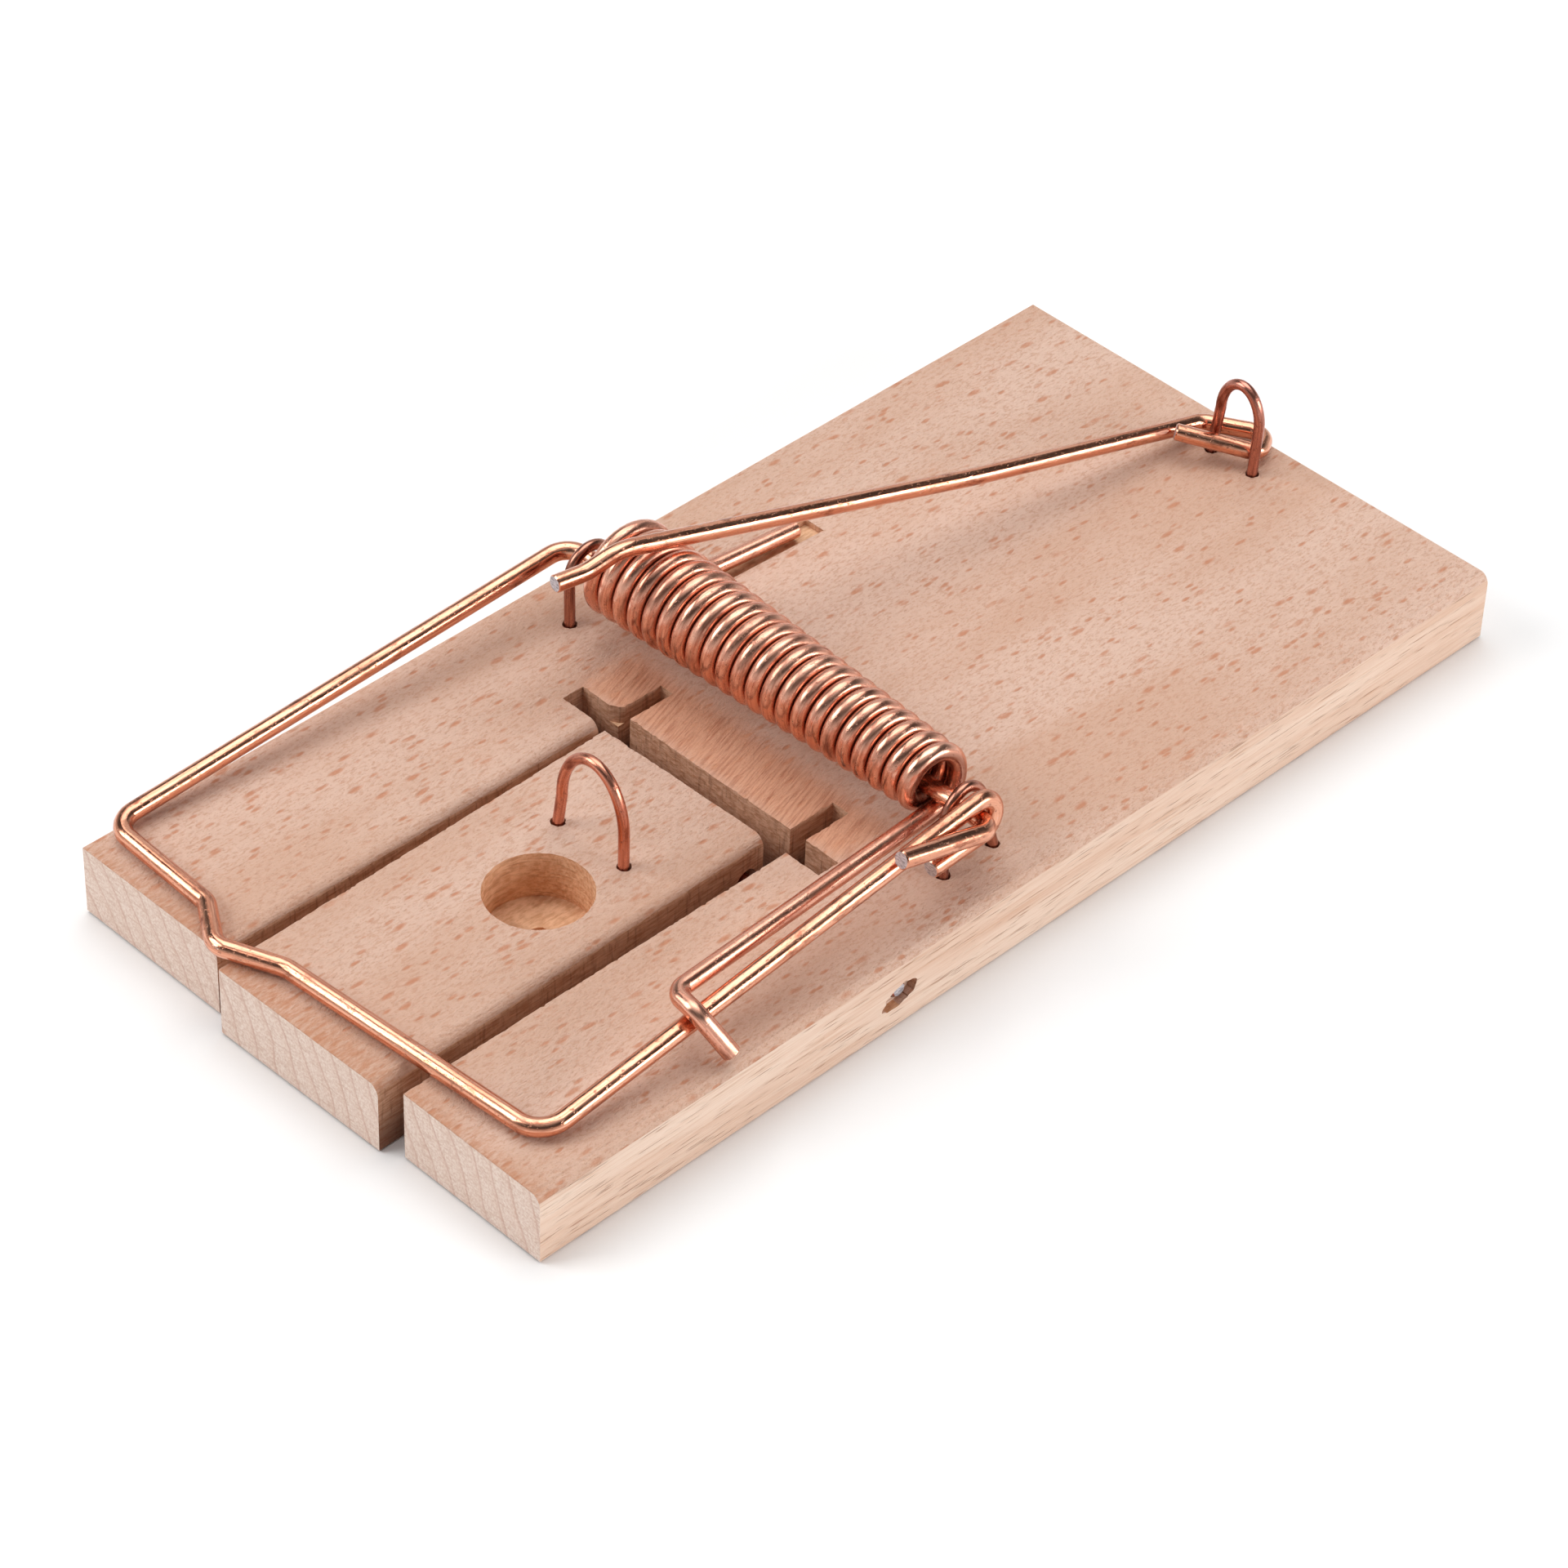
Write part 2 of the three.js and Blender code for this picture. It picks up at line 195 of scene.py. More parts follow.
def bow_path():
    """From the cut end beside the right arm, along the axle, round the bow and into the closing eye."""
    axle_y, axle_z = AXLE
    # The last corner only gives the right arm its direction, and is left out of the path.
    path = bent_path([
        (21.15, 35.5, 12.45),
        (21.65, axle_y, axle_z, 1.3),
        (-21.7, axle_y, axle_z, 1.9),
        (-23.2, 2.45, BOW_FRONT_Z, 1.9),
        (-12.5, 2.05, BOW_FRONT_Z, 1.4),
        (-8.75, -0.35, BOW_FRONT_Z, 1.6),
        (-3.7, 1.75, BOW_FRONT_Z, 3.0),
        (EYE["x"], 3.35, BOW_FRONT_Z, 2.2),
        (EYE["x"], axle_y - 2, axle_z + 1.25),
    ])[:-1]
    start = 90 + EYE["lift"]
    steps = math.ceil(math.radians(start - EYE["end"]) / BEND_STEP)
    for i in range(steps + 1):
        angle = math.radians(start + (EYE["end"] - start) * i / steps)
        path.append(Vector((
            EYE["x"] + EYE["drift"] * i / steps,
            axle_y + EYE["radius"] * math.cos(angle),
            axle_z + EYE["radius"] * math.sin(angle),
        )))
    return path + [Vector(EYE_TIP)]


def coil_points():
    """The coil's centreline. It tapers to the right, and starts and ends underneath."""
    steps = COIL_TURNS * COIL_STEPS_PER_TURN
    points = []
    for i in range(steps + 1):
        share = i / steps
        angle = 2 * math.pi * i / COIL_STEPS_PER_TURN
        x, z, radius = (
            COIL_LEFT[k] + (COIL_RIGHT[k] - COIL_LEFT[k]) * share for k in ("x", "z", "radius")
        )
        points.append(Vector((x, COIL_Y - radius * math.sin(angle), z - radius * math.cos(angle))))
    return points


def spring_path():
    """From the tail in its groove, round the coil, to the arm that hooks over the bow's right arm."""
    left, right = COIL_LEFT, COIL_RIGHT
    tail_z = left["z"] - left["radius"]
    arm_z = right["z"] - right["radius"]
    tail = bent_path([
        (-15.2, 61.6, 6.4),
        (-15.75, 53.4, 6.75, 9),
        (left["x"], COIL_Y + 1.2, tail_z - 0.15, 3),
        (left["x"], COIL_Y, tail_z),
    ])[:-1]
    arm = bent_path([
        (right["x"], COIL_Y, arm_z),
        (right["x"] + 0.1, COIL_Y - 1.5, arm_z + 0.02, 8),
        (18.3, 16.95, 10, 1.3),
        (20.9, 16.5, 10.2, 1.2),
        (23.05, 17.8, 7.1),
    ])[1:]
    return tail + coil_points() + arm


def lock_bar_path():
    """From the joggled tip, down the long slope, to the eye round one leg of the rear staple."""
    return bent_path([
        (-13.25, 35.2, 16.45),
        (-12.85, 37.9, 16.33, 4),
        (-12.35, 40.7, 17.17, 5),
        (-6.75, 72, 10.75, 100),
        (-3.5, 90.3, 7.66, 1.2),
        (-3, 93.45, 7.15, 1.5),
        (1.3, 96.3, 6.92, 1.3),
        (2.75, 93.75, 7.12, 1.1),
        (-2.3, 89.6, 8.5),
    ])


# --- meshes of wire ------------------------------------------------------------------------------

WIRE_SIDES = 20
WIRE_CHAMFER = 0.09
WIRE_CREASE = math.radians(35)
SAME_POINT = 1e-3
STEEP = 0.9


def new_object(name, mesh, materials):
    piece = bpy.data.objects.new(name, mesh)
    bpy.context.scene.collection.objects.link(piece)
    for material in materials:
        mesh.materials.append(material)
    return piece


def finish_normals(mesh, crease):
    """Faces point outwards, and edges that turn by more than the crease angle are drawn sharp."""
    shape = bmesh.new()
    shape.from_mesh(mesh)
    bmesh.ops.recalc_face_normals(shape, faces=shape.faces)
    for edge in shape.edges:
        edge.smooth = len(edge.link_faces) == 2 and edge.calc_face_angle(0) < crease
    for face in shape.faces:
        face.smooth = True
    shape.to_mesh(mesh)
    shape.free()


def cleaned(path):
    """The path without points that repeat the one before."""
    kept = [path[0]]
    for point in path[1:]:
        if (point - kept[-1]).length > SAME_POINT:
            kept.append(point)
    return kept


def transported_frames(path):
    """The path's points, with a unit tangent and a unit normal each, carried along without twisting."""
    points = np.array([tuple(p) for p in path])
    steps = np.diff(points, axis=0)
    steps /= np.linalg.norm(steps, axis=1)[:, None]
    tangents = np.vstack([steps[:1], steps[:-1] + steps[1:], steps[-1:]])
    tangents /= np.linalg.norm(tangents, axis=1)[:, None]
    normal = np.array([1.0, 0.0, 0.0] if abs(tangents[0][2]) >= STEEP else [0.0, 0.0, 1.0])
    normals = []
    for tangent in tangents:
        normal = normal - tangent * (normal @ tangent)
        normal /= np.linalg.norm(normal)
        normals.append(normal)
    return points, tangents, np.array(normals)


def nook_of_coil(point, spoke):
    """How far a point of the spring is turned towards the next turn, from 0 to 1."""
    reach = math.hypot(point[1] - COIL_Y, point[2] - COIL_LEFT["z"])
    return abs(spoke[0]) if reach < COIL_LEFT["radius"] + 2 * SPRING_WIRE else 0.0


def wire(name, path, radius, materials, nook=None):
    """A round wire along the path with chamfered cut ends, which take the second material.

    Each point knows where it is on the wire, and how deep in a nook when a function tells it.
    """
    points, tangents, normals = transported_frames(cleaned(path))
    across = np.cross(tangents, normals)
    along = np.concatenate([[0], np.cumsum(np.linalg.norm(np.diff(points, axis=0), axis=1))])
    angles = np.linspace(0, 2 * math.pi, WIRE_SIDES, endpoint=False)
    cosines, sines = np.cos(angles), np.sin(angles)
    rings, coordinates, depths = [], [], []

    def ring(i, size, shift):
        spokes = cosines[:, None] * normals[i] + sines[:, None] * across[i]
        rings.append(points[i] + tangents[i] * shift + spokes * size)
        depths.extend(nook(points[i], spoke) if nook else 0.0 for spoke in spokes)
        distance = np.full(WIRE_SIDES, along[i] + shift)
        coordinates.append(np.stack([distance, cosines * size, sines * size], 1))

    last = len(points) - 1
    ring(0, radius - WIRE_CHAMFER, 0)
    ring(0, radius, WIRE_CHAMFER)
    for i in range(1, last):
        ring(i, radius, 0)
    ring(last, radius, -WIRE_CHAMFER)
    ring(last, radius - WIRE_CHAMFER, 0)
    vertices = np.concatenate(rings)
    vertices[:, 1] += FRONT_Y
    faces = []
    for here in range(0, len(vertices) - WIRE_SIDES, WIRE_SIDES):
        there = here + WIRE_SIDES
        for s in range(WIRE_SIDES):
            t = (s + 1) % WIRE_SIDES
            faces.append((here + s, here + t, there + t, there + s))
    faces.append(tuple(range(WIRE_SIDES))[::-1])
    faces.append(tuple(range(len(vertices) - WIRE_SIDES, len(vertices))))
    mesh = bpy.data.meshes.new(name)
    mesh.from_pydata((vertices * MM).tolist(), [], faces)
    on_wire = mesh.attributes.new("on_wire", "FLOAT_VECTOR", "POINT")
    on_wire.data.foreach_set("vector", np.concatenate(coordinates).astype(np.float32).ravel())
    mesh.attributes.new("nook", "FLOAT", "POINT").data.foreach_set("value", depths)
    cut_faces = {len(faces) - 2, len(faces) - 1}
    for face in mesh.polygons:
        face.material_index = 1 if face.index in cut_faces else 0
    finish_normals(mesh, WIRE_CREASE)
    return new_object(name, mesh, materials)


# --- meshes of wood ------------------------------------------------------------------------------

WOOD_CREASE = math.radians(40)
ROUND = 1.0
ARRIS = 0.12
EDGE_RADII = {"planed": ARRIS, "rounded": ROUND, "sawn": 0.04}
PROFILE_DEPTHS = [0, 0.03, 0.08, ARRIS, 0.25, 0.4, 0.6, 0.8, ROUND]
DEEP = 9.0
SAW_SPACING = 0.22
SAW_ROUGH = 0.018
SAW_DRIFT = 0.6
SAW_FADE = {"depth": 0.3, "rest": 0.3}
SPLINTER_EVERY = 9
SPLINTER_SIZE = 3.5
CLEAR = 0.5

# The cuts of beech, in the order of the wood's materials.
FACE, EDGE, END, SAWN, BORED = range(5)

# How near the outside a face counts as outer, and how far inside a flat or a drilled one is buried.
OUTER_BAND = 1.1
SKIN = 0.2
HAIR = 0.01

# The least part of a face's normal along the axis that it is tested on.
FLAT = 0.99
FACING = 0.72
FACING_NEAR_TOP = 0.35
FACING_SIDE = 0.6


def rounding(depth, radius):
    """How far a rounded edge stands back at this depth below the face."""
    short = max(0.0, radius - depth)
    return radius - math.sqrt(max(0.0, radius * radius - short * short))


def plan_corners(outline, insets):
    """The outline's corners with each edge moved inwards by its own amount."""
    corners = []
    for i, corner in enumerate(outline):
        before, after = Vector(outline[i - 1]), Vector(outline[(i + 1) % len(outline)])
        here = Vector(corner)
        first, second = (here - before).normalized(), (after - here).normalized()
        normal_a, normal_b = Vector((-first.y, first.x)), Vector((-second.y, second.x))
        corners.append(here + normal_a * insets[i - 1] + normal_b * insets[i])
    return corners


def edge_offsets(start, end, kind, rng):
    """How far each point along an edge is broken back (positive) or stands proud (negative)."""
    sawn = kind == "sawn"
    count = max(1, round(math.dist(start, end) / SAW_SPACING)) if sawn else 1
    rough = SAW_ROUGH if sawn else 0.0
    offsets, drift = [], 0.0
    for _ in range(count):
        drift = SAW_DRIFT * drift + rng.uniform(-rough, rough)
        offsets.append(drift)
    for _ in range(count // SPLINTER_EVERY):
        centre = rng.randrange(2, max(3, count - 2))
        offsets[min(centre, count - 1)] += rng.uniform(0.5, 1.0) * rough * SPLINTER_SIZE
    offsets[0] = 0.0
    return offsets


def slab(outline, kinds, rng):
    """A slab of wood with square corners in plan. Each edge is planed, rounded or sawn."""
    offsets = [
        edge_offsets(start, end, kind, rng)
        for start, end, kind in zip(outline, outline[1:] + outline[:1], kinds)
    ]
    shape = bmesh.new()
    rings = []
    for z, depth in [(TOP - d, d) for d in PROFILE_DEPTHS] + [(ARRIS, DEEP), (0.0, DEEP)]:
        insets = [ARRIS if z < ARRIS else rounding(depth, EDGE_RADII[k]) for k in kinds]
        corners = plan_corners(outline, insets)
        fade = math.exp(-depth / SAW_FADE["depth"]) + SAW_FADE["rest"]
        ring = []
        for start, end, steps in zip(corners, corners[1:] + corners[:1], offsets):
            heading = (end - start).normalized()
            inward = Vector((-heading.y, heading.x))
            for j, offset in enumerate(steps):
                spot = start.lerp(end, j / len(steps)) + inward * (offset * fade)
                ring.append(shape.verts.new(place(spot.x, spot.y, z)))
        rings.append(ring)
    for upper, lower in zip(rings, rings[1:]):
        for s in range(len(upper)):
            t = (s + 1) % len(upper)
            shape.faces.new((upper[s], lower[s], lower[t], upper[t]))
    shape.faces.new(rings[0])
    shape.faces.new(rings[-1][::-1])
    bmesh.ops.recalc_face_normals(shape, faces=shape.faces)
    return shape


def object_of(shape, name):
    """The bmesh as an object. The bmesh is freed."""
    mesh = bpy.data.meshes.new(name)
    shape.to_mesh(mesh)
    shape.free()
    return new_object(name, mesh, [])


def prism(outline, start, end, turn=None):
    """A closed prism of a plan outline between two heights, turned by a matrix when one is given."""
    shape = bmesh.new()
    rings = [[shape.verts.new(Vector((x, y, z))) for x, y in outline] for z in (start, end)]
    for s in range(len(outline)):
        t = (s + 1) % len(outline)
        shape.faces.new((rings[0][s], rings[0][t], rings[1][t], rings[1][s]))
    shape.faces.new(rings[0][::-1])
    shape.faces.new(rings[1])
    for vertex in shape.verts:
        spot = turn @ vertex.co if turn else vertex.co
        vertex.co = place(*spot)
    bmesh.ops.recalc_face_normals(shape, faces=shape.faces)
    return object_of(shape, "cutter")


def ragged_oval(centre, radii, sides, ragged, rng):
    """A round or oval outline whose radius wanders a little."""
    spots = []
    for i in range(sides):
        angle = 2 * math.pi * i / sides
        swell = 1 + rng.uniform(-ragged, ragged)
        spots.append((
            centre[0] + radii[0] * swell * math.cos(angle),
            centre[1] + radii[1] * swell * math.sin(angle),
        ))
    return spots


def ragged_circle(centre, radius, sides, ragged, rng):
    return ragged_oval(centre, (radius, radius), sides, ragged, rng)


def across_board(y, z):
    """Turns a prism standing on (0, 0) to lie along x at this y and z."""
    upright_to_x = Matrix(((0, 0, 1, 0), (1, 0, 0, 0), (0, 1, 0, 0), (0, 0, 0, 1)))
    return Matrix.Translation((0, y, z)) @ upright_to_x


def carve(shape, cutters, name, materials):
    """The shape less the cutters, as a new object."""
    piece = object_of(shape, name)
    for cutter in cutters:
        modifier = piece.modifiers.new("cut", "BOOLEAN")
        modifier.operation = "DIFFERENCE"
        modifier.solver = "EXACT"
        modifier.object = cutter
    graph = bpy.context.evaluated_depsgraph_get()
    carved = bpy.data.meshes.new_from_object(piece.evaluated_get(graph))
    carved.name = name
    bpy.data.objects.remove(piece)
    for cutter in cutters:
        bpy.data.objects.remove(cutter)
    carved.materials.clear()
    finish_normals(carved, WOOD_CREASE)
    return new_object(name, carved, materials)


def staple_hole_cutters(name, rng):
    staple = STAPLES[name]
    x, y = staple["centre"]
    made = []
    for side in (-staple["half"], staple["half"]):
        centre = (x, y + side) if staple["along"] else (x + side, y)
        rim = ragged_circle(centre, STAPLE_HOLE["radius"], sides=18, ragged=0.08, rng=rng)
        made.append(prism(rim, STAPLE_HOLE["floor"], TOP + CLEAR))
    return made


def board_outline():
    """The plan of the board and how each edge from corner to corner was cut."""
    left, right, cross, ends = KERF_LEFT, KERF_RIGHT, KERF_CROSS, KERF_CROSS_ENDS
    corners = [
        (-HALF, 0), (left[0], 0), (left[0], cross[0]), (ends[0], cross[0]), (ends[0], cross[1]),
        (left[0], cross[1]), (left[0], KERF_ALONG_END), (left[1], KERF_ALONG_END), (left[1], cross[1]),
        (right[0], cross[1]), (right[0], KERF_ALONG_END), (right[1], KERF_ALONG_END),
        (right[1], cross[1]), (ends[1], cross[1]), (ends[1], cross[0]), (right[1], cross[0]),
        (right[1], 0), (HALF, 0), (HALF, LENGTH), (-HALF, LENGTH),
    ]
    kinds = ["planed", "rounded"] + ["sawn"] * 14 + ["planed", "rounded", "planed", "planed"]
    return corners, kinds


def board_mesh(materials, rng):
    """The board, with the hole for the pin, the torn wood round it, the groove and the chip."""
    shape = slab(*board_outline(), rng)
    pin_hole = ragged_circle((0, 0), BOARD_BORE["radius"], sides=20, ragged=0.04, rng=rng)
    torn = ragged_oval((TORN_BORE["shift"], 0), TORN_BORE["radii"], sides=22, ragged=0.14, rng=rng)
    front, rear = GROOVE["y"]
    tail_slot = [(x, front) for x in GROOVE["front"]] + [(x, rear) for x in GROOVE["rear"][::-1]]
    lie = across_board(*PIVOT)
    tilt = Matrix.Rotation(TORN_BORE["tilt"], 4, "Z")
    cutters = [
        prism(pin_hole, BOARD_BORE["end"], HALF + CLEAR, lie),
        prism(torn, HALF - TORN_BORE["depth"], HALF + CLEAR, lie @ tilt),
        prism(tail_slot, GROOVE["floor"], TOP + CLEAR),
        prism(CHIP["outline"], TOP - CHIP["depth"], TOP + CLEAR),
    ]
    for name in ("rear_staple", "left_axle_staple", "right_axle_staple"):
        cutters += staple_hole_cutters(name, rng)
    board = carve(shape, cutters, "board_wood", materials)
    assign_wood(board.data, planed_sides=True)
    return board


def treadle_mesh(materials, rng):
    """The tongue sawn out of the board, a degree askew on its pin."""
    (left, right), (front, rear) = TREADLE_X, TREADLE_Y
    outline = [(left, front), (right, front), (right, rear), (left, rear)]
    shape = slab(outline, ["planed", "rounded", "sawn", "sawn"], rng)
    ease = [
        (rear - TREADLE_EASE, -CLEAR), (rear + CLEAR, -CLEAR), (rear + CLEAR, TREADLE_EASE),
        (rear, TREADLE_EASE), (rear - TREADLE_EASE, 0),
    ]
    bore = ragged_circle((0, 0), TREADLE_BORE, sides=20, ragged=0.03, rng=rng)
    bait = (BAIT["x"], BAIT["y"])
    rim = ragged_circle(bait, BAIT["radius"], sides=96, ragged=0.006, rng=rng)
    pip = ragged_circle(bait, BAIT_PIP["radius"], sides=16, ragged=0.1, rng=rng)
    floor = TOP - BAIT["depth"]
    cutters = [
        prism(ease, left - 1, right + 1, across_board(0, 0)),
        prism(bore, left - 1, right + 1, across_board(*PIVOT)),
        prism(rim, floor, TOP + CLEAR),
        prism(pip, floor - BAIT_PIP["depth"], floor + BAIT_PIP["overlap"]),
        *staple_hole_cutters("treadle_staple", rng),
    ]
    wood = carve(shape, cutters, "treadle_wood", materials)
    assign_wood(wood.data, planed_sides=False, bored=(*bait, BAIT["radius"] + BAIT["margin"]))
    askew(wood.data)
    return wood


def askew(mesh):
    """Turns the treadle's pieces by their degree of yaw about the pin's middle."""
    middle = place(0, PIVOT[0], 0)
    yaw = Matrix.Rotation(TREADLE_YAW, 4, "Z")
    mesh.transform(Matrix.Translation(middle) @ yaw @ Matrix.Translation(-middle))


def assign_wood(mesh, planed_sides, bored=None):
    """Gives each face the cut of beech that it shows: planed face, long edge, end grain, sawn or bored.

    bored is the plan circle (x, y, radius) inside which every buried face was made by a bit.
    """
    low = Vector([min(v.co[k] for v in mesh.vertices) for k in range(3)])
    high = Vector([max(v.co[k] for v in mesh.vertices) for k in range(3)])
    band, skin = OUTER_BAND * MM, SKIN * MM
    for face in mesh.polygons:
        centre, normal = face.center, face.normal
        drilled = bored and math.dist(centre[:2], place(bored[0], bored[1], 0)[:2]) < bored[2] * MM
        planed = abs(normal.z) > (FACING_NEAR_TOP if centre.z > high.z - band else FACING)
        outer_side = centre.x > high.x - band or centre.x < low.x + band
        outer_end = centre.y > high.y - band or centre.y < low.y + band
        if drilled and centre.z < high.z - HAIR * MM:
            face.material_index = BORED
        elif planed:
            buried = abs(normal.z) > FLAT and low.z + skin < centre.z < high.z - skin
            face.material_index = BORED if buried else FACE
        elif abs(normal.y) > FACING and outer_end:
            face.material_index = END
        elif planed_sides and abs(normal.x) > FACING_SIDE and outer_side:
            face.material_index = EDGE
        else:
            face.material_index = SAWN


# --- materials -----------------------------------------------------------------------------------


class Look:
    """A node material as it is put together."""

    def __init__(self, name):
        self.material = bpy.data.materials.new(name)
        self.material.use_nodes = True
        self.nodes = self.material.node_tree.nodes
        self.links = self.material.node_tree.links
        self.shader = self.nodes["Principled BSDF"]

    def feed(self, node, socket, value):
        if isinstance(value, bpy.types.NodeSocket):
            self.links.new(value, node.inputs[socket])
        else:
            node.inputs[socket].default_value = value

    def node(self, kind, inputs, **settings):
        made = self.nodes.new("ShaderNode" + kind)
        for key, value in settings.items():
            setattr(made, key, value)
        for socket, value in inputs.items():
            self.feed(made, socket, value)
        return made

    def millimetres(self):
        """The point on the piece at rest, in millimetres."""
        spot = self.node("TexCoord", {}).outputs["Object"]
        return self.stretched(spot, (1 / MM, 1 / MM, 1 / MM))

    def on_wire(self):
        """The point as millimetres along the wire and across its section."""
        return self.node("Attribute", {}, attribute_name="on_wire").outputs["Vector"]

    def nook(self):
        """How deep the point lies between two turns of the spring."""
        return self.node("Attribute", {}, attribute_name="nook").outputs["Fac"]

    def stretched(self, vector, scale):
        return self.node("VectorMath", {0: vector, 1: scale}, operation="MULTIPLY").outputs[0]

    def shifted(self, vector, shift):
        return self.node("VectorMath", {0: vector, 1: shift}, operation="ADD").outputs[0]

    def split(self, vector):
        return self.node("SeparateXYZ", {0: vector}).outputs

    def joined(self, x, y, z):
        return self.node("CombineXYZ", {0: x, 1: y, 2: z}).outputs[0]

    def noise(self, vector, pitch, detail=2.0, roughness=0.5):
        """Noise with its own pitch along each axis."""
        inputs = {
            "Vector": self.stretched(vector, pitch), "Scale": 1.0,
            "Detail": detail, "Roughness": roughness,
        }
        return self.node("TexNoise", inputs).outputs["Fac"]

    def cells(self, vector):
        return self.node("TexVoronoi", {"Vector": vector, "Scale": 1.0}).outputs

    def remap(self, value, low, high, to_low=0.0, to_high=1.0):
        inputs = {
            "Value": value, "From Min": low, "From Max": high, "To Min": to_low, "To Max": to_high,
        }
        return self.node("MapRange", inputs, interpolation_type="SMOOTHSTEP").outputs["Result"]

    def math(self, operation, first, second=0.0):
        return self.node("Math", {0: first, 1: second}, operation=operation).outputs[0]

    def times(self, first, second):
        return self.math("MULTIPLY", first, second)

    def plus(self, first, second):
        return self.math("ADD", first, second)

    def minus(self, first, second):
        return self.math("SUBTRACT", first, second)

    def mix(self, factor, first, second):
        made = self.node("Mix", {}, data_type="RGBA")
        for socket, value in ((0, factor), (6, first), (7, second)):
            self.feed(made, socket, value)
        return made.outputs[2]

    def tinted(self, colour, mask, weight, tint):
        """The colour moved towards the tint where the mask is 1, by no more than the weight."""
        return self.mix(self.times(mask, weight), colour, tint)

    def bump(self, height, depth):
        """A normal for a surface whose height from 0 to 1 is this many millimetres deep."""
        inputs = {"Height": height, "Distance": depth * MM, "Strength": 1.0}
        return self.node("Bump", inputs).outputs["Normal"]

    def done(self, colour, roughness, normal, **uniform):
        self.feed(self.shader, "Base Color", colour)
        self.feed(self.shader, "Roughness", roughness)
        if normal is not None:
            self.feed(self.shader, "Normal", normal)
        for socket, value in uniform.items():
            self.shader.inputs[socket.replace("_", " ")].default_value = value
        return self.material


def srgb(red, green, blue):
    """A colour given as 0 to 255 display values, as linear light."""
    return tuple(
        (c / 255 / 12.92) if c / 255 < 0.04045 else ((c / 255 + 0.055) / 1.055) ** 2.4
        for c in (red, green, blue)
    ) + (1.0,)


def patch(look, spot, x, y, soft):
    """1 inside a box of the plan, fading to 0 over the soft width round it."""
    axes = look.split(spot)
    inside = 1.0
    for axis, (low, high) in ((axes[0], x), (axes[1], (y[0] + FRONT_Y, y[1] + FRONT_Y))):
        rise = look.remap(axis, low - soft, low + soft)
        fall = look.remap(axis, high - soft, high + soft, 1.0, 0.0)
        inside = look.times(look.times(rise, fall), inside)
    return inside


def beech_flecks(look, spot):
    """Rusty spindles in two sizes, lying along the grain and wavering a little."""
    wavering = look.shifted(spot, (3.1, 7.7, 1.3))
    flecks = None
    for pitch, shift, width, share in (
        ((2.1, 0.72, 2.1), (0.0, 0.0, 0.0), 0.44, 0.7),
        ((1.25, 0.42, 1.25), (5.3, 2.1, 0.7), 0.38, 0.72),
    ):
        bend = look.noise(wavering, (0.25, 0.12, 0.25), 1.0)
        drift = look.times(bend, 1.2)
        axes = look.split(look.shifted(look.stretched(spot, pitch), shift))
        cell = look.cells(look.joined(look.plus(axes[0], drift), axes[1], axes[2]))
        chosen = look.remap(look.split(cell["Color"])[0], share, share + 0.12)
        core = look.remap(cell["Distance"], width * 0.35, width, 1.0, 0.0)
        mark = look.times(core, chosen)
        flecks = mark if flecks is None else look.math("MAXIMUM", flecks, mark)
    return flecks


def beech_face():
    """Planed beech: pinkish and finely mottled, with rusty flecks, pores and stains."""
    pale, rosy = srgb(224, 190, 171), srgb(214, 174, 151)
    mottled, pore, streak, rust = (
        srgb(202, 154, 128), srgb(176, 128, 104), srgb(205, 158, 130), srgb(198, 132, 98),
    )
    look = Look("beech_face")
    spot = look.millimetres()
    broad = look.noise(spot, (0.12, 0.03, 0.12), 3.0, 0.55)
    colour = look.mix(look.remap(broad, 0.35, 0.68), pale, rosy)
    mottle = look.noise(spot, (4.2, 1.6, 4.2), 4.0, 0.72)
    colour = look.tinted(colour, look.remap(mottle, 0.48, 0.62), 0.7, mottled)
    pores = look.noise(look.shifted(spot, (9.0, 4.0, 2.0)), (6.5, 3.4, 6.5), 2.0, 0.6)
    colour = look.tinted(colour, look.remap(pores, 0.6, 0.7), 0.45, pore)
    fibre = look.noise(spot, (7.0, 0.45, 7.0), 3.0, 0.65)
    colour = look.tinted(colour, look.remap(fibre, 0.5, 0.72), 0.3, streak)
    flecks = beech_flecks(look, spot)
    rough_flecks = look.times(flecks, look.remap(mottle, 0.2, 0.55, 0.45, 1.0))
    colour = look.tinted(colour, rough_flecks, 0.85, rust)
    colour = stained(look, spot, colour)
    height = look.minus(look.times(fibre, 0.5), look.times(mottle, 0.8))
    height = look.minus(height, look.times(pores, 0.7))
    height = look.minus(height, look.times(flecks, 0.3))
    roughness = look.remap(fibre, 0.3, 0.7, 0.5, 0.66)
    return look.done(colour, roughness, look.bump(height, 0.14), Specular_IOR_Level=0.32)


def stained(look, spot, colour):
    """The burnished ground in front of the coil and the scorched front edges."""
    burnished, scraped, scorched = srgb(224, 162, 128), srgb(188, 118, 84), srgb(196, 134, 98)
    axes = look.split(spot)
    slant = look.plus(axes[0], look.times(axes[1], 0.3))
    lines = look.joined(slant, look.times(axes[1], 0.12), 0.0)
    streaks = look.noise(lines, (4.6, 2.0, 1.0), 4.0, 0.7)
    smooth = patch(look, spot, (-13.0, 13.5), (37.3, 43.0), 1.4)
    ground = look.mix(look.remap(streaks, 0.42, 0.66), burnished, scraped)
    colour = look.tinted(colour, smooth, 0.85, ground)
    edge = patch(look, spot, (-30.0, 30.0), (-3.0, 1.0), 1.3)
    blot = look.noise(spot, (3.0, 0.8, 3.0), 4.0, 0.65)
    return look.tinted(colour, edge, look.remap(blot, 0.34, 0.66, 0.15, 0.85), scorched)


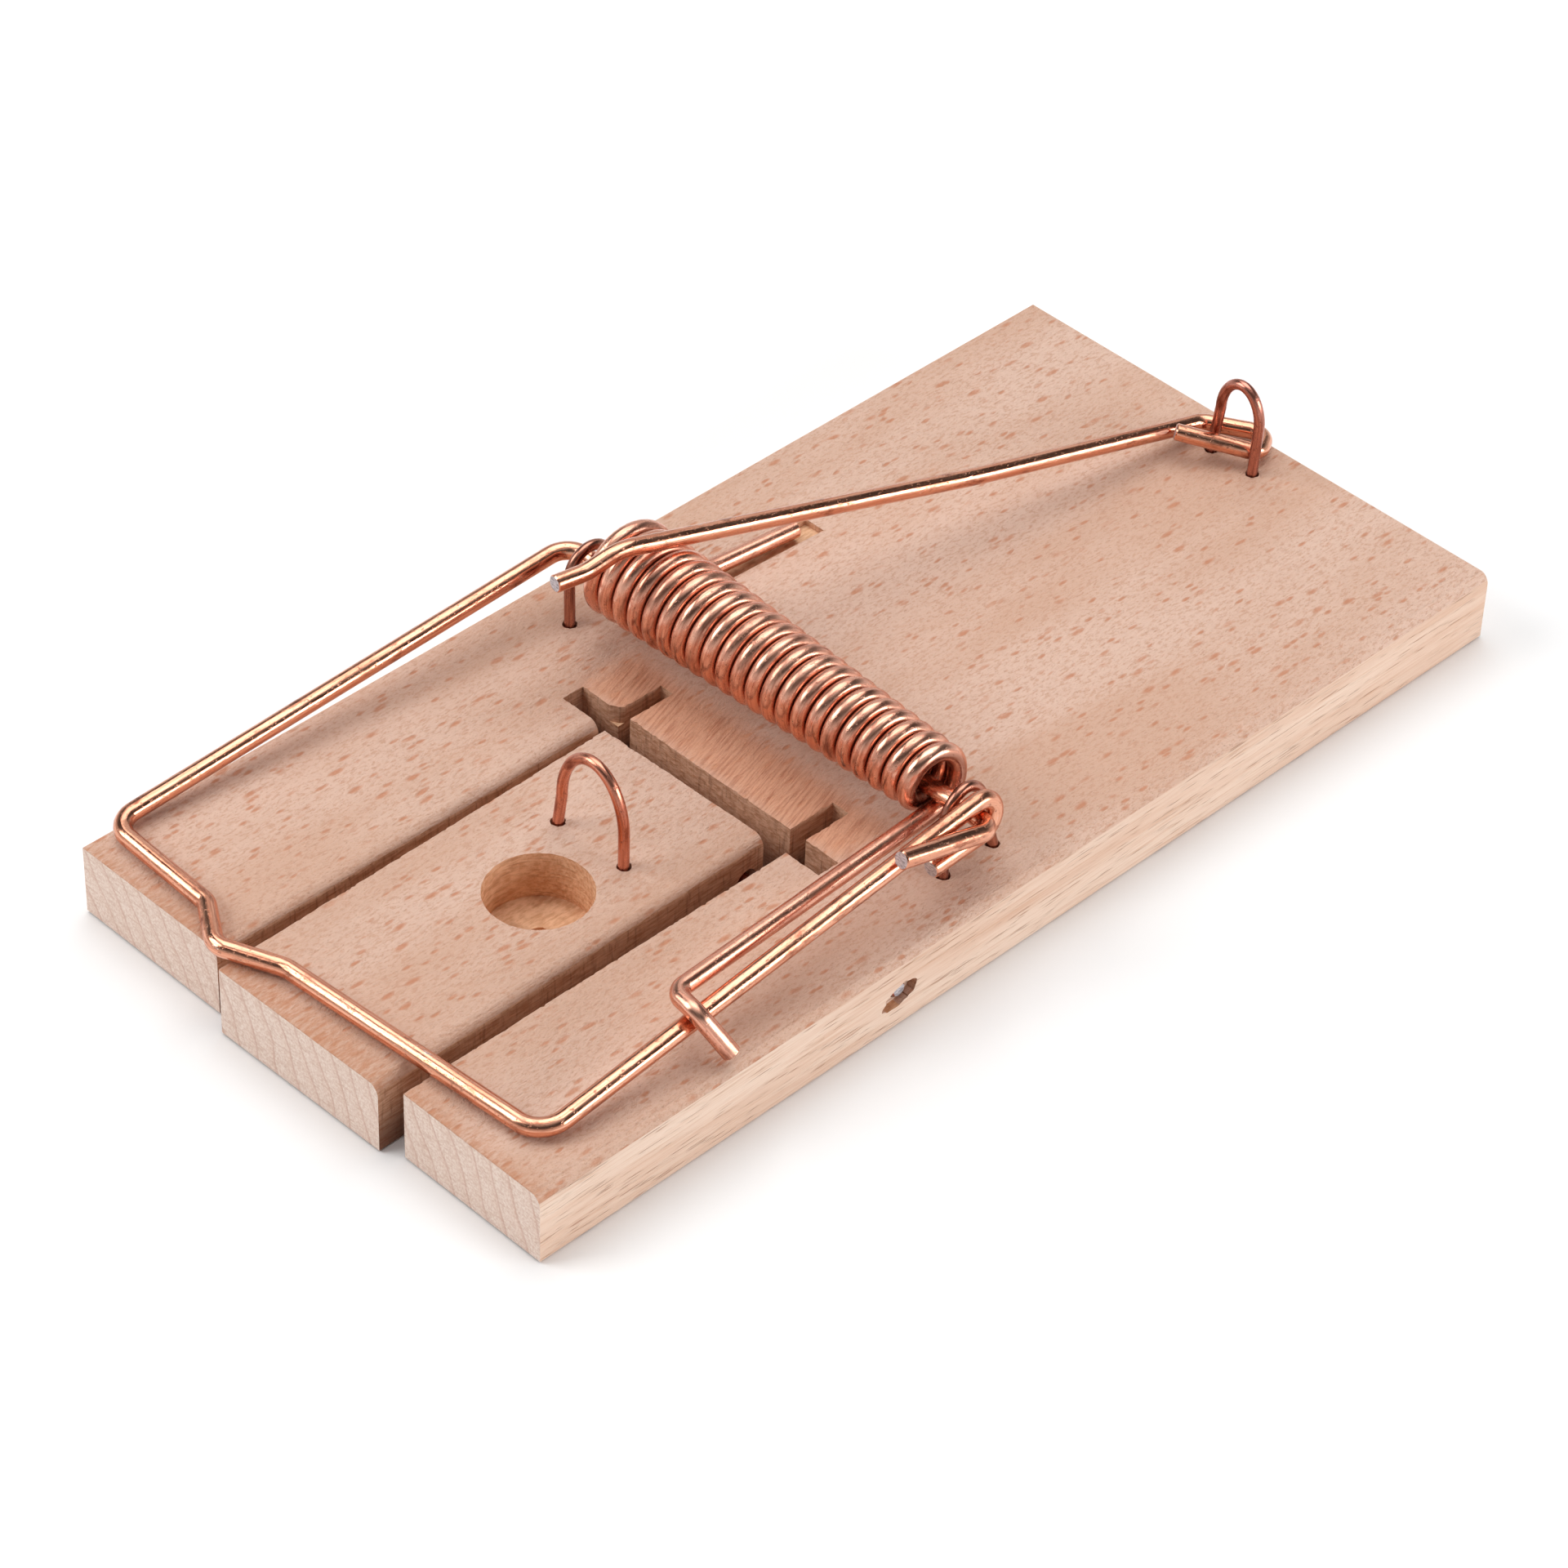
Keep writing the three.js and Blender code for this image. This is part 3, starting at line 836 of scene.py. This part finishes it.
def beech_edge():
    """A long edge: paler, with short straight dark dashes lying along it."""
    pale, rosy = srgb(232, 206, 187), srgb(218, 182, 159)
    grained, dashed = srgb(205, 156, 124), srgb(168, 112, 82)
    look = Look("beech_edge")
    spot = look.millimetres()
    broad = look.noise(spot, (0.3, 0.02, 0.35), 3.0, 0.6)
    colour = look.mix(look.remap(broad, 0.35, 0.66), pale, rosy)
    fine = look.noise(spot, (2.0, 0.12, 6.0), 3.0, 0.65)
    colour = look.tinted(colour, look.remap(fine, 0.45, 0.7), 0.5, grained)
    dash = look.noise(spot, (3.0, 0.35, 9.0), 1.0, 0.5)
    colour = look.tinted(colour, look.remap(dash, 0.66, 0.74), 0.6, dashed)
    height = look.minus(look.times(fine, 0.6), look.remap(dash, 0.6, 0.75))
    roughness = look.remap(fine, 0.3, 0.7, 0.5, 0.62)
    return look.done(colour, roughness, look.bump(height, 0.04), Specular_IOR_Level=0.3)


def beech_end():
    """End grain: the growth rings cross it as thin slanting lines."""
    pale, rosy = srgb(238, 219, 206), srgb(221, 193, 177)
    ray, ring_line, late_wood = srgb(198, 158, 138), srgb(198, 152, 136), srgb(212, 170, 148)
    pith_x, pith_z, ring_width = -70.0, -22.0, 1.75
    look = Look("beech_end")
    spot = look.millimetres()
    axes = look.split(spot)
    reach_x = look.minus(axes[0], pith_x)
    reach_z = look.minus(axes[2], pith_z)
    squares = look.plus(look.times(reach_x, reach_x), look.times(reach_z, reach_z))
    wander = look.noise(spot, (0.12, 0.12, 0.12))
    radius = look.plus(look.math("SQRT", squares), look.times(wander, 2.6))
    phase = look.math("FRACT", look.math("DIVIDE", radius, ring_width))
    line = look.times(look.remap(phase, 0.8, 0.93), look.remap(phase, 0.94, 0.99, 1.0, 0.0))
    grit = look.noise(spot, (5.0, 1.0, 5.0), 3.0, 0.7)
    rays = look.noise(spot, (0.7, 1.0, 4.5), 2.0, 0.6)
    colour = look.mix(look.remap(grit, 0.36, 0.66), pale, rosy)
    colour = look.tinted(colour, look.remap(rays, 0.5, 0.7), 0.35, ray)
    colour = look.tinted(colour, line, 0.42, ring_line)
    colour = look.tinted(colour, look.remap(phase, 0.3, 0.9), 0.16, late_wood)
    height = look.plus(grit, look.times(line, 0.4))
    roughness = look.remap(grit, 0.3, 0.7, 0.66, 0.8)
    return look.done(colour, roughness, look.bump(height, 0.05), Specular_IOR_Level=0.22)


def beech_sawn():
    """Sawn walls: painted shade darkens them lower down, with the fibres torn along the cut."""
    torn, fuzzy = srgb(226, 180, 150), srgb(190, 138, 106)
    saw_mark, painted_shade = srgb(132, 84, 60), srgb(104, 60, 42)
    look = Look("beech_sawn")
    spot = look.millimetres()
    lengthwise = look.noise(spot, (1.5, 0.5, 5.0), 4.0, 0.7)
    upright = look.noise(spot, (3.5, 3.5, 0.35), 3.0, 0.65)
    colour = look.mix(look.remap(lengthwise, 0.36, 0.66), torn, fuzzy)
    colour = look.tinted(colour, look.remap(upright, 0.5, 0.72), 0.5, saw_mark)
    # painted shade: the walls darken towards the bottom of the cuts
    painted_depth_shade = look.remap(look.split(spot)[2], TOP - 1.3, TOP - 5.4, 0.0, 0.8)
    colour = look.mix(painted_depth_shade, colour, painted_shade)
    height = look.plus(look.times(lengthwise, 1.0), look.times(upright, 0.7))
    roughness = look.remap(lengthwise, 0.3, 0.7, 0.7, 0.85)
    return look.done(colour, roughness, look.bump(height, 0.12), Specular_IOR_Level=0.2)


def beech_bored():
    """The floors and walls that a bit or a chisel left."""
    pale, rosy, ring_mark = srgb(240, 196, 158), srgb(212, 160, 122), srgb(166, 112, 80)
    look = Look("beech_bored")
    spot = look.millimetres()
    rings = look.noise(spot, (0.5, 0.5, 6.0), 3.0, 0.6)
    grain = look.noise(spot, (3.0, 0.8, 3.0), 3.0, 0.65)
    colour = look.mix(look.remap(grain, 0.35, 0.68), pale, rosy)
    colour = look.tinted(colour, look.remap(rings, 0.5, 0.7), 0.45, ring_mark)
    height = look.plus(look.times(rings, 0.8), grain)
    roughness = look.remap(grain, 0.3, 0.7, 0.68, 0.82)
    return look.done(colour, roughness, look.bump(height, 0.1), Specular_IOR_Level=0.2)


WIRE_LOOKS = {
    "coppered_wire": {
        "bright": srgb(240, 176, 146), "dull": srgb(216, 144, 114),
        "tarnish": 0.85, "roughness": 0.13, "wear": 0.8,
    },
    "coppered_spring_wire": {
        "bright": srgb(244, 184, 158), "dull": srgb(214, 146, 122),
        "tarnish": 0.75, "roughness": 0.22, "wear": 0.0,
    },
    "coppered_staple_wire": {
        "bright": srgb(226, 152, 126), "dull": srgb(182, 112, 90),
        "tarnish": 0.9, "roughness": 0.2, "wear": 0.0,
    },
    "oil_blackened_staple_wire": {
        "bright": srgb(196, 134, 112), "dull": srgb(134, 86, 74),
        "tarnish": 1.0, "roughness": 0.2, "wear": 0.0,
    },
    "dusky_staple_wire": {
        "bright": srgb(206, 138, 120), "dull": srgb(150, 94, 80),
        "tarnish": 1.0, "roughness": 0.22, "wear": 0.0,
    },
}


def coppered(name, bright, dull, tarnish, roughness, wear):
    """Coppered steel wire: drawn streaks, freckles of tarnish and scuffs where the steel shows.

    Painted shade darkens the wire where it faces the next turn of a coil.
    """
    cloudy, speckled, painted_shade = srgb(120, 62, 44), srgb(92, 44, 32), srgb(112, 54, 38)
    bare_steel = srgb(214, 196, 190)
    look = Look(name)
    spot = look.on_wire()
    drawn = look.noise(spot, (0.16, 5.0, 5.0), 3.0, 0.6)
    colour = look.mix(look.remap(drawn, 0.35, 0.68), bright, dull)
    cloud = look.noise(spot, (0.35, 0.9, 0.9), 4.0, 0.7)
    colour = look.tinted(colour, look.remap(cloud, 0.52, 0.74), tarnish, cloudy)
    freckle = look.noise(spot, (3.2, 4.0, 4.0), 3.0, 0.7)
    specks = look.remap(freckle, 0.6, 0.7)
    colour = look.tinted(colour, specks, 0.6 * tarnish, speckled)
    scuffing = look.noise(look.shifted(spot, (17.0, 3.0, 9.0)), (0.55, 1.8, 1.8), 4.0, 0.75)
    scuffs = look.times(look.remap(scuffing, 0.66, 0.72), wear)
    colour = look.mix(scuffs, colour, bare_steel)
    # painted shade between the turns of a coil, where the wire faces the next turn
    painted_gap_shade = look.remap(look.nook(), 0.86, 1.0)
    colour = look.tinted(colour, painted_gap_shade, 0.65, painted_shade)
    rough = look.remap(cloud, 0.35, 0.75, roughness, roughness + 0.16)
    rough = look.plus(rough, look.times(specks, 0.12))
    dents = look.noise(spot, (0.5, 0.7, 0.7), 3.0, 0.6)
    height = look.plus(look.times(dents, 1.0), look.times(drawn, 0.22))
    height = look.minus(height, look.times(look.math("MAXIMUM", specks, scuffs), 0.25))
    return look.done(colour, rough, look.bump(height, 0.03), Metallic=1.0)


def cut_steel():
    """The bright grey ends where the wire was sheared."""
    bright, dull = srgb(232, 232, 238), srgb(158, 154, 162)
    look = Look("cut_steel")
    spot = look.millimetres()
    shear = look.noise(spot, (3.0, 3.0, 8.0), 4.0, 0.7)
    colour = look.mix(look.remap(shear, 0.35, 0.68), bright, dull)
    roughness = look.remap(shear, 0.3, 0.7, 0.3, 0.5)
    return look.done(colour, roughness, look.bump(shear, 0.06), Metallic=1.0)


def paper_floor():
    """A matt, nearly white sheet."""
    shade, light = (0.93, 0.93, 0.93, 1), (0.95, 0.95, 0.95, 1)
    look = Look("floor_paper")
    spot = look.millimetres()
    tooth = look.noise(spot, (0.02, 0.02, 0.02))
    colour = look.mix(tooth, shade, light)
    return look.done(colour, look.remap(tooth, 0.3, 0.7, 0.88, 0.95), None)


# --- the pieces ----------------------------------------------------------------------------------

BOARD_SEED = 11
TREADLE_SEED = 23


def build_wood():
    cuts = [beech_face(), beech_edge(), beech_end(), beech_sawn(), beech_bored()]
    board = board_mesh(cuts, random.Random(BOARD_SEED))
    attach(board, "base")
    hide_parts("base_board")
    treadle = treadle_mesh(cuts, random.Random(TREADLE_SEED))
    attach(treadle, "treadle_arm")
    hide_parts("treadle")


def build_staples(looks, steel):
    treadle_wire, oiled, dusky = (
        looks[name]
        for name in ("coppered_staple_wire", "oil_blackened_staple_wire", "dusky_staple_wire")
    )
    rides = {
        "treadle_staple": ("treadle_arm", "treadle_staple_wire", treadle_wire),
        "rear_staple": ("base", "staple_wire", dusky),
        "left_axle_staple": ("base", "staple_wire", oiled),
        "right_axle_staple": ("base", "staple_wire", oiled),
    }
    for name, (body, slot, look) in rides.items():
        piece = wire(name + "_wire", staple_path(STAPLES[name]), STAPLE_WIRE, [look, steel])
        if body == "treadle_arm":
            askew(piece.data)
        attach(piece, body)
        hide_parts(name)


def build_pin(look, steel):
    path = [Vector((x, *PIVOT)) for x in PIN_X]
    pin = wire("pivot_pin_wire", path, PIN_RADIUS, [look, steel])
    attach(pin, "base")
    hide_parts("treadle_pivot_pin")


def build_bow(look, steel):
    bow = wire("bow_wire_loop", bow_path(), BOW_WIRE, [look, steel])
    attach(bow, "bow")
    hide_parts("snap_bow")


def build_lock_bar(look, steel):
    bar = wire("lock_bar_rod", lock_bar_path(), LOCK_BAR_WIRE, [look, steel])
    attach(bar, "bar")
    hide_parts("lock_bar")


def build_spring(look, steel):
    """The coil as one wire, baked in place and attached to no body: it does not turn with the bow."""
    coil = wire("spring_coil", spring_path(), SPRING_WIRE, [look, steel], nook_of_coil)
    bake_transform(coil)
    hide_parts("torsion_spring")


def build_wires():
    looks = {name: coppered(name, **values) for name, values in WIRE_LOOKS.items()}
    steel = cut_steel()
    build_staples(looks, steel)
    build_pin(looks["coppered_staple_wire"], steel)
    build_bow(looks["coppered_wire"], steel)
    build_lock_bar(looks["coppered_wire"], steel)
    build_spring(looks["coppered_spring_wire"], steel)


# --- the studio ----------------------------------------------------------------------------------

# The floor and the lamps are in metres. The camera stands in the layout's millimetres, and turns in
# degrees.
FLOOR_REACH = 6.0
FLOOR_DROP = 0.00005
LAMPS = {
    "left": {"at": (-0.34, -0.36, 0.4), "size": (0.36, 0.36), "power": 2.0},
    "right": {"at": (0.62, 0.28, 0.19), "size": (0.5, 0.26), "power": 2.6},
    "rear_left": {"at": (-0.42, 0.5, 0.42), "size": (0.5, 0.4), "power": 0.35},
    "top": {"at": (-0.2, 0.2, 0.85), "size": (0.8, 0.8), "power": 4.5},
}
LAMP_TARGET = (0, 0, 0.006)

# Heights from level and below (0) to straight up (1), each with its grey.
SKY = [(0.0, 1.0), (0.12, 1.2), (0.3, 0.6), (0.5, 0.1), (0.75, 0.1), (0.95, 1.1)]
SKY_STRENGTH = 0.62

CAMERA = {"at": (202.5, -163.9, 250.0), "turn": (49.358, -1.626, 45.415), "lens": 121.24}


def floor_plane():
    reach = FLOOR_REACH
    mesh = bpy.data.meshes.new("floor")
    corners = [(-reach, -reach, 0), (reach, -reach, 0), (reach, reach, 0), (-reach, reach, 0)]
    mesh.from_pydata(corners, [], [(0, 1, 2, 3)])
    floor = new_object("floor", mesh, [paper_floor()])
    floor.location.z = -FLOOR_DROP


def softbox(name, at, size, power):
    data = bpy.data.lights.new(name, "AREA")
    data.shape = "RECTANGLE"
    data.size, data.size_y = size
    data.energy = power
    lamp = bpy.data.objects.new(name, data)
    bpy.context.scene.collection.objects.link(lamp)
    lamp.location = at
    lamp.rotation_euler = (Vector(LAMP_TARGET) - Vector(at)).to_track_quat("-Z", "Y").to_euler()


def sky():
    """A grey studio that gets lighter or darker with height only."""
    world = bpy.data.worlds.new("studio")
    bpy.context.scene.world = world
    world.use_nodes = True
    nodes, links = world.node_tree.nodes, world.node_tree.links
    ramp = nodes.new("ShaderNodeValToRGB")
    split = nodes.new("ShaderNodeSeparateXYZ")
    where = nodes.new("ShaderNodeTexCoord")
    links.new(where.outputs["Generated"], split.inputs[0])
    links.new(split.outputs["Z"], ramp.inputs["Fac"])
    links.new(ramp.outputs["Color"], nodes["Background"].inputs["Color"])
    elements = ramp.color_ramp.elements
    while len(elements) < len(SKY):
        elements.new(0.5)
    for element, (position, level) in zip(elements, SKY):
        element.position = position
        element.color = (level, level, level, 1)
    nodes["Background"].inputs["Strength"].default_value = SKY_STRENGTH


def camera():
    data = bpy.data.cameras.new("camera")
    eye = bpy.data.objects.new("camera", data)
    bpy.context.scene.collection.objects.link(eye)
    data.sensor_width = 36
    data.lens = CAMERA["lens"]
    data.clip_start, data.clip_end = 0.01, 20
    eye.location = place(*CAMERA["at"])
    eye.rotation_euler = [math.radians(a) for a in CAMERA["turn"]]
    bpy.context.scene.camera = eye


build_wood()
build_wires()
floor_plane()
sky()
for name, lamp in LAMPS.items():
    softbox(name, **lamp)
camera()
bpy.context.scene.view_settings.view_transform = "Standard"
